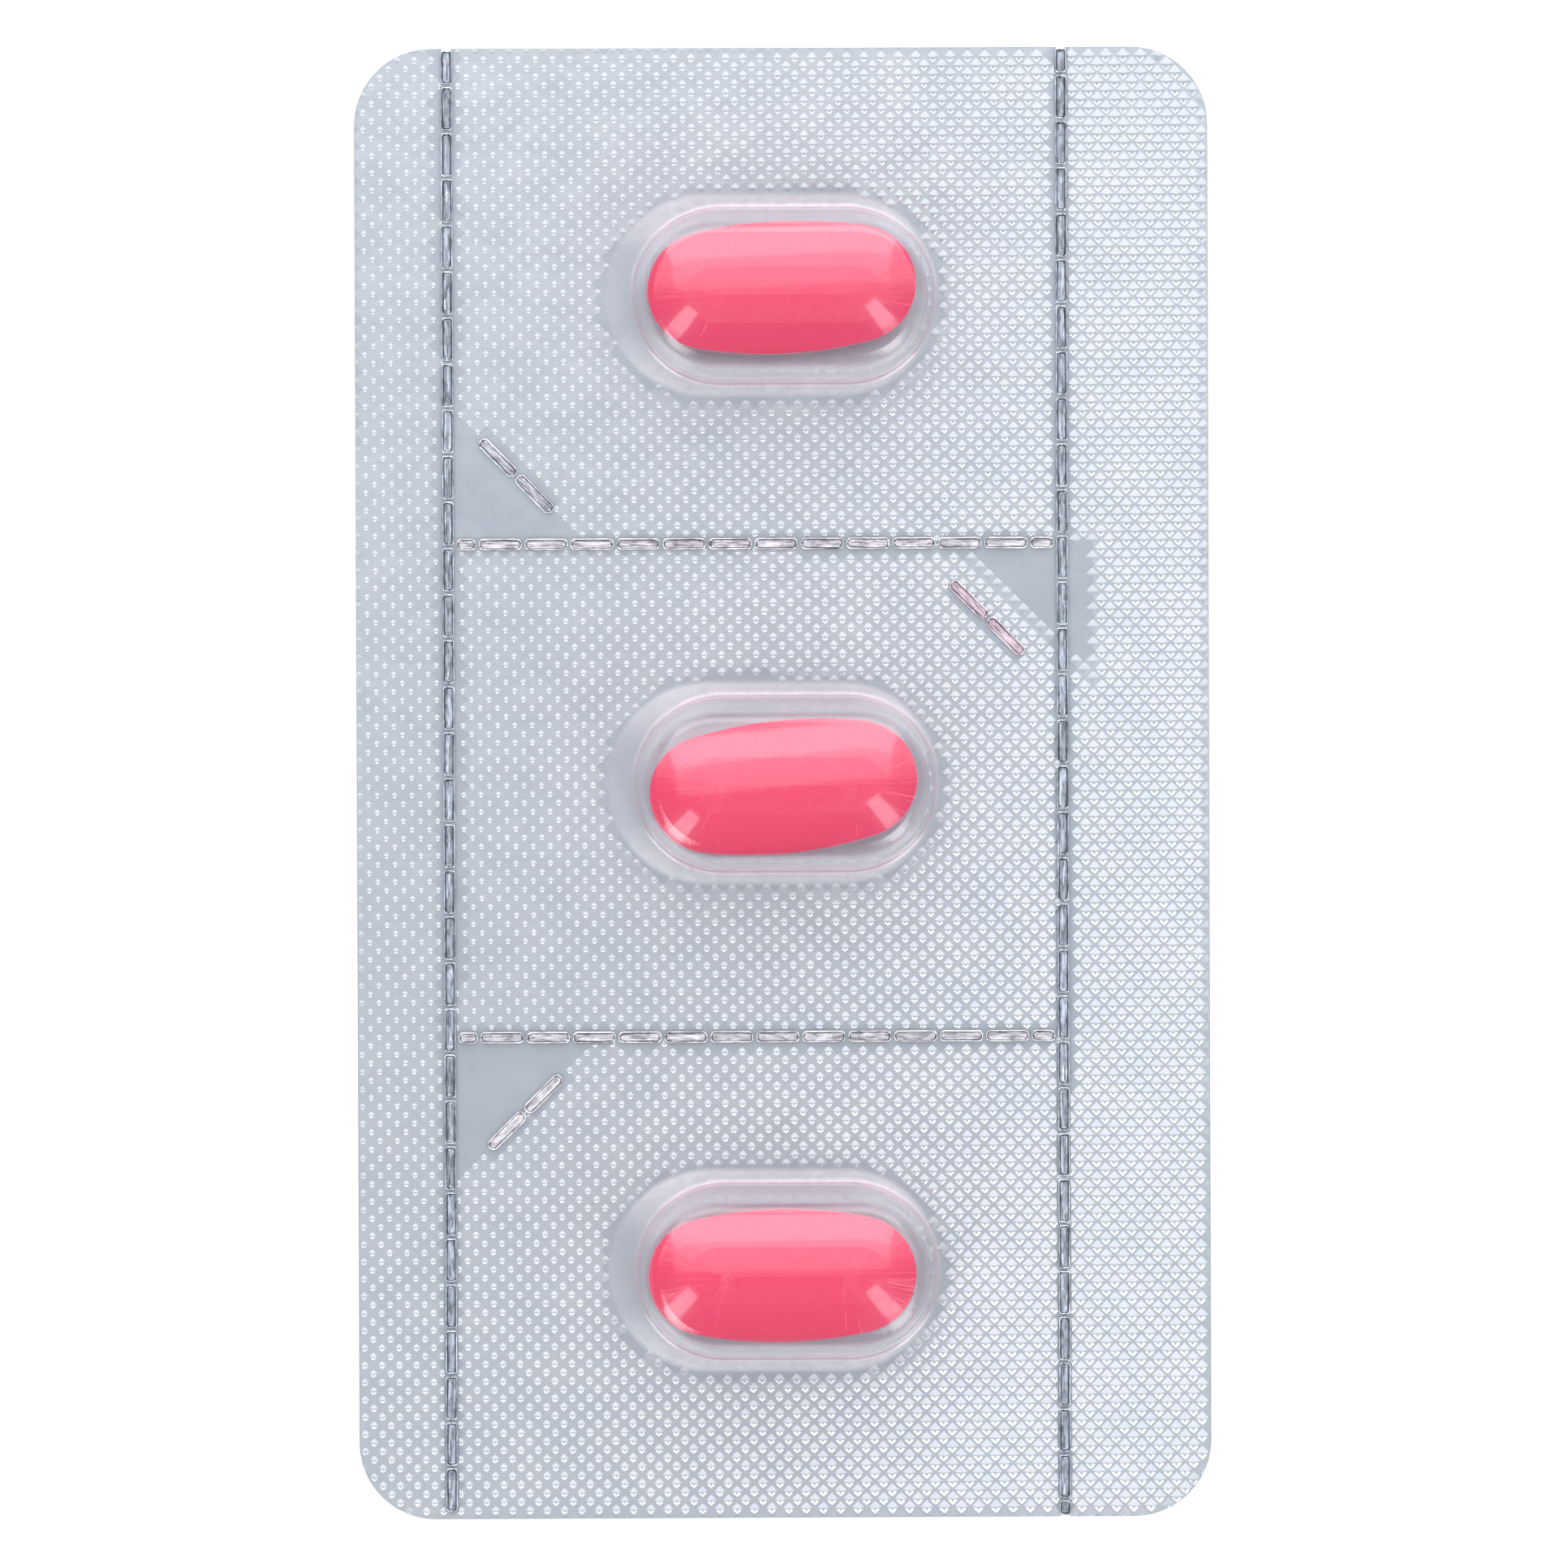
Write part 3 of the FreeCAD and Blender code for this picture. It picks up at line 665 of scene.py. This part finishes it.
def kept_on_card(spots, inset=0.03):
    """Points past the card's edge go back to it, square to the edge or round its corner."""
    straight = np.array([CARD_WIDTH / 2, CARD_LENGTH / 2]) - CARD_CORNER
    core = np.clip(spots, -straight, straight)
    away = spots - core
    length = np.linalg.norm(away, axis=-1, keepdims=True)
    return core + away * np.minimum(1, (CARD_CORNER - inset) / np.maximum(length, 1e-9))


# %% Points and faces of the pyramids
# The eight points round a pyramid's foot in lattice steps, from its lowest corner on the card.
FOOT_RING = np.array([(-1, -1), (0, -1), (1, -1), (1, 0), (1, 1), (0, 1), (-1, 1), (-1, 0)])
SMALLEST_HALF, HALF_GAIN = 0.20, 0.205
CORNER_CUT = 0.12
PYRAMID_SLOPE = 0.30
TIP_SHIFT = 0.045
EDGE_FADE, ZONE_FADE, ZONE_SHARE = 0.45, 0.9, 0.35


def cell_points(u, v, press):
    """Nine points for each cell: the tip, and eight round it at half to each side, in cells.

    half goes from 0.20 to 0.405 as the seal is pressed harder, and the foot's corners are cut
    back where it is pressed little. The tip stands up by PYRAMID_SLOPE times half, less near
    the card's edge and the smooth zones, and lies TIP_SHIFT towards the card's foot.
    """
    x, y = to_card(u, v)
    half = SMALLEST_HALF + HALF_GAIN * press
    is_corner = np.abs(FOOT_RING).sum(axis=1) == 2
    spread = half[:, None] * (1 - CORNER_CUT * (1 - press)[:, None] * is_corner)
    ring_x, ring_y = to_card(u[:, None] + FOOT_RING[:, 0] * spread,
                             v[:, None] + FOOT_RING[:, 1] * spread)
    fade = np.clip(-card_distance(x, y) / EDGE_FADE, 0, 1)
    fade = fade * (ZONE_SHARE
                   + (1 - ZONE_SHARE) * np.clip(smooth_distance(x, y) / ZONE_FADE, 0, 1))
    height = PYRAMID_SLOPE * half * CELL * fade
    points = np.full((len(u), 9, 3), RELIEF_FLOOR)
    points[:, 0] = np.stack([x, y - TIP_SHIFT, RELIEF_FLOOR + height], axis=1)
    points[:, 1:, 0], points[:, 1:, 1] = ring_x, ring_y
    points[..., :2] = kept_on_card(points[..., :2])
    return points


def pyramid_faces(count):
    """Eight triangles a cell, from the tip to each pair of neighbours round the foot."""
    first = np.arange(count)[:, None] * 9
    return np.stack([np.broadcast_to(first, (count, 8)), first + 1 + np.arange(8),
                     first + 1 + (np.arange(8) + 1) % 8], axis=-1).reshape(-1, 3)


def valley_faces(u, v, rows):
    """Quads that join each cell to its next ones along u, along v and along both.

    Two quads lie beside each of the first two, and one fills the square between four cells.
    A quad is left out where one of its cells isn't sealed.
    """
    reach, last = len(rows) // 2, len(rows) - 1
    u, v = u + reach, v + reach
    next_u, next_v = np.minimum(u + 1, last), np.minimum(v + 1, last)
    here, right, above, across = rows[u, v], rows[next_u, v], rows[u, next_v], rows[next_u, next_v]
    quads = []
    for corners in (((here, 3), (right, 1), (right, 8), (here, 4)),
                    ((here, 4), (right, 8), (right, 7), (here, 5)),
                    ((here, 7), (here, 6), (above, 2), (above, 1)),
                    ((here, 6), (here, 5), (above, 3), (above, 2)),
                    ((here, 5), (right, 7), (across, 1), (above, 3))):
        sealed = np.minimum.reduce([cell for cell, _ in corners]) >= 0
        quads.append(np.stack([cell * 9 + point for cell, point in corners], axis=1)[sealed])
    return np.vstack(quads)


# %% The pyramids as one mesh
cell_u, cell_v, cell_rows = sealed_cells()
cell_press = pressed(*to_card(cell_u, cell_v))
relief_points = cell_points(cell_u, cell_v, cell_press).reshape(-1, 3)
relief_fans = pyramid_faces(len(cell_u))
relief_quads = valley_faces(cell_u, cell_v, cell_rows)
relief = build_piece("sealed_foil", relief_points, [*relief_fans, *relief_quads], "foil")

# %% Normals that make a pyramid look round or flat
LEAST_FLAT, FLAT_GAIN = 0.1, 0.8
LOWER_FLAT = 0.8
ROUND_LEAN = 1.7
BESIDE = 1.6


def fan_normals(points, fans, press):
    """A normal for each corner of each fan triangle.

    A flat face's normal is mixed with a round one, which stands upright at the tip and leans
    outwards at the foot. The mix follows how hard the seal is pressed. In the pyramid's lower
    half the mix is fixed: nearly flat, but round at the tip and at the left and right corner.
    That draws the thin dark line across each pyramid.
    """
    corner = points[fans]
    flat = np.cross(corner[:, 1] - corner[:, 0], corner[:, 2] - corner[:, 0])
    flat /= np.maximum(np.linalg.norm(flat, axis=1, keepdims=True), 1e-9)
    flat = np.broadcast_to(flat[:, None], corner.shape)
    tilt = np.linalg.norm(flat[..., :2], axis=-1, keepdims=True)
    out = corner[..., :2] - corner[:, :1, :2]
    length = np.linalg.norm(out, axis=-1, keepdims=True)
    lean = out / np.maximum(length, 1e-9) * tilt * ROUND_LEAN
    round_normal = np.concatenate([lean, np.ones_like(tilt)], axis=-1)
    share = np.repeat(LEAST_FLAT + FLAT_GAIN * np.repeat(press, 8)[:, None], 3, axis=1)
    lower = np.isin(np.arange(len(fans)) % 8, (0, 1, 6, 7))
    beside = np.abs(out[..., 0]) > BESIDE * np.abs(out[..., 1])
    share[lower] = np.where(beside[lower], 0.0, LOWER_FLAT)
    share[lower, 0] = 0.0
    share = share[..., None]
    mixed = flat * share + round_normal * (1 - share)
    return mixed / np.linalg.norm(mixed, axis=-1, keepdims=True)


fan_corners = fan_normals(relief_points, relief_fans, cell_press).reshape(-1, 3)
upright = np.tile((0.0, 0.0, 1.0), (relief_quads.size, 1))
relief.data.shade_smooth()
relief.data.normals_split_custom_set(np.vstack([fan_corners, upright]).tolist())
print("corner normals:", len(fan_corners), "leaning,", len(upright), "upright")

# %% [markdown]
# ## The cut edges
#
# A perforating blade doesn't leave a clean hole. It pushes film and foil down into a narrow
# trough and raises a thin lip round it. Each trough is a few rings of the slot's outline, carried
# from the lip's foot over its crest and down to the floor. The blade tears a little, so all
# rings but the outermost waver.

# %% Troughs and lips
# For each ring: how far it lies outside the slot, its height, and how bright it is painted, a
# painted highlight on the lip and painted shade down the walls.
TROUGH = [(0.06, 0.350, 1.2), (0.03, 0.378, 1.9), (0.0, 0.375, 1.6), (-0.015, 0.32, 0.3),
          (-0.06, 0.20, 0.4), (-0.10, 0.17, 1.1), (-0.19, 0.18, 1.25)]
SHARP_CORNER, SOFT_CORNER, LEAST_CORNER = 0.13, 0.25, 0.05
WAVER, LIFT = 0.016, 0.012
EDGE_CLEAR, SHORTEST_HALF = 0.16, 0.35
BRIGHTEST = 0.95
TROUGH_SMOOTH_BELOW = 80
FIBRE_STRETCH, FIBRE_APART = 0.22, 3.7


def runs_down(slot):
    """Whether a slot lies along the card's length."""
    return abs(math.sin(slot[3])) > 0.99


def shortened(slot):
    """The slot, with its ends brought back inside the card's edge if it runs over it."""
    slot = slot.copy()
    if runs_down(slot):
        ends = np.array([slot[1] - slot[2], slot[1] + slot[2]])
        ends = np.clip(ends, -CARD_LENGTH / 2 + EDGE_CLEAR, CARD_LENGTH / 2 - EDGE_CLEAR)
        slot[1], slot[2] = ends.mean(), (ends[1] - ends[0]) / 2
    return slot


def trough_rings(slot, dice):
    """Rings of one trough, wavering a little apart from the outermost."""
    count = 4 * (SLOT_CORNER_STEPS + 1)
    waver = dice.normal(0, WAVER, (len(TROUGH), count, 2))
    lift = dice.normal(0, LIFT, (len(TROUGH), count))
    waver[0], lift[0] = 0, 0
    rings = []
    for index, (grow, height, _) in enumerate(TROUGH):
        corner = max((SHARP_CORNER if runs_down(slot) else SOFT_CORNER) + grow, LEAST_CORNER)
        ring = slot_outline(slot, grow, corner) + waver[index]
        rings.append(np.column_stack([ring, height + lift[index]]))
    return np.array(rings)


def fibre_map(points, slot, number):
    """Texture places for streaks along a slot: slow along it, quick across it."""
    away = points[:, :2] - slot[:2]
    cos, sin = math.cos(slot[3]), math.sin(slot[3])
    return np.column_stack([(away[:, 0] * cos + away[:, 1] * sin) * FIBRE_STRETCH,
                            away[:, 1] * cos - away[:, 0] * sin,
                            np.full(len(away), number * FIBRE_APART)])


def trough_piece():
    """All the troughs as one mesh. One face closes each trough's innermost ring."""
    dice = np.random.default_rng(7)
    points, faces, lit_tints, fibres, count = [], [], [], [], 0
    for number, (slot, lit_tint) in enumerate(zip(map(shortened, SLOTS), LIT_TINTS)):
        if slot[2] < SHORTEST_HALF:
            continue
        rings = trough_rings(slot, dice)
        around = rings.shape[1]
        points.append(rings.reshape(-1, 3))
        # Each ring's painted brightness: a painted highlight on the lip, painted shade down the
        # walls.
        painted_light = np.repeat([painted_light for *_, painted_light in TROUGH], around)[:, None]
        lit_tints.append(np.column_stack([np.clip(lit_tint * painted_light, 0, BRIGHTEST),
                                      np.ones(len(painted_light))]))
        fibres.append(fibre_map(points[-1], slot, number))
        faces.extend(grid_faces(len(TROUGH), around) + count)
        faces.append(np.arange(around) + count + around * (len(TROUGH) - 1))
        count += len(points[-1])
    piece = build_piece("cut_edges", np.vstack(points), faces, "clear_film", TROUGH_SMOOTH_BELOW)
    add_attribute(piece, "lit_tint", "FLOAT_COLOR", np.vstack(lit_tints))
    add_attribute(piece, "fibre", "FLOAT_VECTOR", np.vstack(fibres))
    return piece


cut_edges = trough_piece()

# %% [markdown]
# ## The clear film's finish
#
# The film is clear plastic, a quarter of a millimetre thick. Real refraction would bend every
# ray twice for a shift too small to see, and viewers on a page can't show it. So the film is a
# veil instead: see-through, with a mirror on top that grows towards grazing angles, and with a
# haze where it was drawn thin or lies loose on the foil. Round each pocket's foot that haze is
# pink, a painted reflection of the caplet.

# %% Clear film
UPPER_MILK, LOWER_MILK, END_MILK = 0.30, 0.33, 0.06
# The foot's haze is pink: a painted reflection of the caplet in the film.
FOOT_REFLECTION_HAZE, LOWER_WALL_HAZE, WALL_HAZE = 0.26, 0.26, 0.02
FACING_GLOSS = 0.04


def pocket_place(paint):
    """On the card, in millimetres: distance past the smooth zone's edge, way up and height.

    All three pockets share one sum, since y is wrapped to half a pitch on each side.
    """
    x, y, high = paint.parts(paint.place(1 / MM))
    up = y.wrapped(POCKET_PITCH / 2, -POCKET_PITCH / 2)
    past = (x - ZONE_X).size() - ZONE_STRAIGHT
    return past.at_least(0.0).length(up - ZONE_Y) - ZONE_RADIUS, up, high


def film_veil(paint, past, up, high, foot):
    """How much haze the film has, from 0 to 1.

    The loose flat film is milky over each pocket's upper and lower side and nearly clear at
    its ends, with a fine mottle. The foot's round and the wall's lower side have a haze too; at
    the foot it carries the painted reflection of the caplet's pink.
    """
    milk = paint.step(up, 2.0, 6.0) * UPPER_MILK + paint.step(up, -2.0, -5.5) * LOWER_MILK
    loose = paint.step(past, 0.15, -0.35) * paint.step(high, 0.6, 0.4)
    mottle = paint.noise(paint.place(), scale=1500.0, detail=1.0) * 0.6 + 0.7
    wall = paint.band(high, (0.6, 1.0), (6.2, 5.4))
    wall_haze = wall * (paint.step(up, -1.0, -4.0) * LOWER_WALL_HAZE + WALL_HAZE)
    return loose * (milk + END_MILK) * mottle + foot * FOOT_REFLECTION_HAZE + wall_haze


def clear_film_paint():
    """Mostly see-through. The gloss is 0.04 plus 0.96 times the fifth power of the lean.

    In the round at the foot the haze is the caplet's pink, a painted reflection of the caplet.
    """
    paint = Paint("clear_film")
    past, up, high = pocket_place(paint)
    foot = paint.band(high, (0.36, 0.5), (1.1, 0.7))
    streaks = paint.noise(paint.attribute("streaks", "Vector"), scale=4.0, detail=2.0)
    normal = paint.bump(streaks * paint.step(high, 0.6, 1.2), 0.08 * MM, 0.3)
    # The pink end of this ramp is a painted reflection of the caplet in the film's foot.
    tone = paint.ramp(foot, [(0.2, (0.86, 0.86, 0.90)), (0.9, (0.68, 0.36, 0.46))])
    clear = paint.node("ShaderNodeBsdfTransparent", {}, Color=(0.955, 0.965, 0.98, 1.0))
    haze = paint.node("ShaderNodeBsdfPrincipled", {}, Base_Color=tone, Roughness=0.8,
                      Specular_IOR_Level=0.0)
    gloss = paint.node("ShaderNodeBsdfGlossy", {}, Color=(1, 1, 1, 1), Roughness=0.05,
                       Normal=normal)
    lean = paint.node("ShaderNodeLayerWeight", {}, Blend=0.5, Normal=normal, output="Facing")
    mirror = lean * lean * lean * lean * lean * (1 - FACING_GLOSS) + FACING_GLOSS
    veil = film_veil(paint, past, up, high, foot)
    body = paint.node("ShaderNodeMixShader", {}, veil, clear, haze)
    return paint.finish(paint.node("ShaderNodeMixShader", {}, mirror, body, gloss))


# %% [markdown]
# ## The foil's finish
#
# The lidding is soft rolled aluminium under a thin lacquer. A pure metal would mirror the dark
# gaps between the lamps and turn patchy, so part of this finish is matt, as the lacquer is. One
# slow noise gives both its clouds and its dents.

# %% Foil


def foil_paint():
    """Satin aluminium, with soft clouds and dents."""
    paint = Paint("foil")
    clouds = paint.noise(paint.place(), scale=330.0, detail=3.0)
    tone = paint.ramp(clouds, [(0.3, (0.582, 0.612, 0.652)), (0.7, (0.632, 0.658, 0.694))])
    metal = paint.node("ShaderNodeBsdfPrincipled", {}, Base_Color=tone, Metallic=0.6,
                       Roughness=0.28, Normal=paint.bump(clouds, 0.1 * MM, 0.5))
    return paint.finish(metal)


# %% [markdown]
# ## The caplets' finish
#
# A caplet is sprayed with a coloured coating and a clear one. A single gloss would tint the
# lamps' reflections, so there are two layers here as well: a pink body with a fine grain, and a
# clear coat that shows the lamps white.

# %% Pink coating


def coating_paint():
    """Pink under a clear coat, with a faint grain."""
    paint = Paint("pink_coating")
    grain = paint.noise(paint.place(), scale=6000.0, detail=2.0)
    tone = paint.ramp(grain, [(0.3, (0.85, 0.026, 0.105)), (0.7, (0.89, 0.034, 0.120))])
    body = paint.node("ShaderNodeBsdfPrincipled", {}, Base_Color=tone, Roughness=0.35,
                      Coat_Weight=1.0, Coat_Roughness=0.09,
                      Normal=paint.bump(grain, 0.01 * MM, 0.5))
    return paint.finish(body)


# %% [markdown]
# ## The cut edges' finish
#
# In a trough, film and foil are folded together, and its walls mirror now a lamp and now the
# dark. Such small folds would need very many faces. Each ring has a painted brightness of its
# own instead, a painted reflection of lamp and dark, and noise along the slot breaks it up.

# %% Cut edge


def cut_edge_paint():
    """Cool grey gloss, streaked along the slot, with the rings' painted highlights and shade."""
    paint = Paint("cut_edge")
    streaks = paint.noise(paint.attribute("fibre", "Vector"), scale=6.0, detail=3.0,
                          roughness=0.6)
    strength = paint.ramp(streaks, [(0.36, (0.42, 0.42, 0.44)), (0.60, (1.15, 1.15, 1.15))])
    # The colour carries the rings' painted highlights and shade, streaked by the noise.
    tone = paint.tinted(paint.attribute("lit_tint", "Color"), strength)
    body = paint.node("ShaderNodeBsdfPrincipled", {}, Base_Color=tone, Metallic=0.5,
                      Roughness=0.22, Normal=paint.bump(streaks, 0.06 * MM, 0.8))
    return paint.finish(body)


# %% Dress every piece
CAPLETS = ("tablet_top", "tablet_middle", "tablet_bottom")


def dress(piece, material):
    """Gives a new piece its one finish."""
    piece.data.materials.clear()
    piece.data.materials.append(material)


def dress_node(node, material):
    """Gives a solid of the card its one finish."""
    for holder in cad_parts[node].material_slots:
        holder.material = material


foil = foil_paint()
coating = coating_paint()
dress(film, clear_film_paint())
dress(relief, foil)
dress(cut_edges, cut_edge_paint())
dress_node("lidding_foil", foil)
for caplet in CAPLETS:
    dress_node(caplet, coating)
print("dressed:", film.name, relief.name, cut_edges.name, "lidding_foil", *CAPLETS)

# %% [markdown]
# ## Floor
#
# The card lies on a white sheet that the picture shows as pure white. Brighter lamps would do
# that too, but would wash out the foil. So the sheet is matt and glows a little, for the camera
# alone: what the glow adds lights nothing else.

# %% Floor
FLOOR_HALF, FLOOR_HEIGHT = 1.5, -0.0002


def floor():
    """A large white sheet, just under the card."""
    paint = Paint("floor")
    seen = paint.node("ShaderNodeLightPath", output="Is Camera Ray")
    matt = paint.node("ShaderNodeBsdfDiffuse", {}, Color=(0.9, 0.9, 0.9, 1))
    glow = paint.node("ShaderNodeEmission", {}, Color=(1, 1, 1, 1), Strength=seen * 0.2)
    mesh = bpy.data.meshes.new("floor")
    mesh.from_pydata([(x * FLOOR_HALF, y * FLOOR_HALF, FLOOR_HEIGHT)
                      for x, y in ((-1, -1), (1, -1), (1, 1), (-1, 1))], [], [(0, 1, 2, 3)])
    plane = bpy.data.objects.new("floor", mesh)
    bpy.context.collection.objects.link(plane)
    dress(plane, paint.finish(paint.node("ShaderNodeAddShader", {}, matt, glow)))


floor()

# %% [markdown]
# ## Lamps
#
# Foil and gloss show what they face, so each lamp is placed by what it does. The window beyond
# the card's head lights the upper slope of every pyramid and caplet. The panel above it fills
# the flat foil. Two small lamps at the foot's left and right make the short lights on the
# caplets' lower sides. A pale sky keeps the shadows open.

# %% Lamps and sky


def lamp(name, azimuth, elevation, distance, width, height, radiance):
    """A soft panel that faces the card. Azimuth 90 is over the card's top edge.

    Its power is pi times its area times the radiance that a mirror would show.
    """
    light = bpy.data.lights.new(name, "AREA")
    light.energy = math.pi * width * height * radiance
    light.shape = "RECTANGLE"
    light.size, light.size_y = width, height
    holder = bpy.data.objects.new(name, light)
    turn, rise = math.radians(azimuth), math.radians(elevation)
    way = Vector((math.cos(turn) * math.cos(rise), math.sin(turn) * math.cos(rise),
                  math.sin(rise)))
    across = Vector((-math.sin(turn), math.cos(turn), 0))
    facing = Matrix((across, way.cross(across), way)).transposed().to_4x4()
    holder.matrix_world = Matrix.Translation(way * distance) @ facing
    bpy.context.collection.objects.link(holder)
    print(f"{name}: {light.energy:.2f} W")


def sky(colour, strength):
    """Even light from all round."""
    world = bpy.data.worlds.new("studio")
    world.use_nodes = True
    sockets = world.node_tree.nodes["Background"].inputs
    sockets["Color"].default_value = (*colour, 1)
    sockets["Strength"].default_value = strength
    bpy.context.scene.world = world


lamp("window", azimuth=90, elevation=24, distance=1.3, width=2.3, height=0.95, radiance=3.1)
lamp("upper_panel", azimuth=90, elevation=64, distance=1.2, width=2.2, height=0.92, radiance=1.3)
for name, azimuth in (("left_lamp", 229), ("right_lamp", 311)):
    lamp(name, azimuth, elevation=38, distance=0.9, width=0.30, height=0.85, radiance=4.6)
sky((0.93, 0.96, 1.0), 0.38)

# %% [markdown]
# ## Camera
#
# The card is seen from almost straight above with no visible perspective, so the lens is long
# and stands nearly a metre away. The pockets' walls show a little more at one side than at the
# other, and that gives the camera's small lean.

# %% Camera
FOCAL_LENGTH, SENSOR_WIDTH = 341.0, 36.0
CAMERA_DISTANCE = 0.9458


def camera():
    """A long lens almost straight above, leaning a touch to the card's top left."""
    lens = bpy.data.cameras.new("camera")
    lens.lens, lens.sensor_width = FOCAL_LENGTH, SENSOR_WIDTH
    lens.clip_start, lens.clip_end = 0.05, 5.0
    holder = bpy.data.objects.new("camera", lens)
    target = Vector((0.00005, -0.00003, 0.00035))
    back = Vector((-0.016, 0.021, 1.0)).normalized()
    roll = math.radians(0.215)
    right = Vector((math.sin(roll), math.cos(roll), 0)).cross(back).normalized()
    up = back.cross(right)
    turn = Matrix((right, up, back)).transposed().to_4x4()
    holder.matrix_world = Matrix.Translation(target + back * CAMERA_DISTANCE) @ turn
    bpy.context.collection.objects.link(holder)
    bpy.context.scene.camera = holder


camera()
bpy.context.scene.view_settings.view_transform = "Standard"
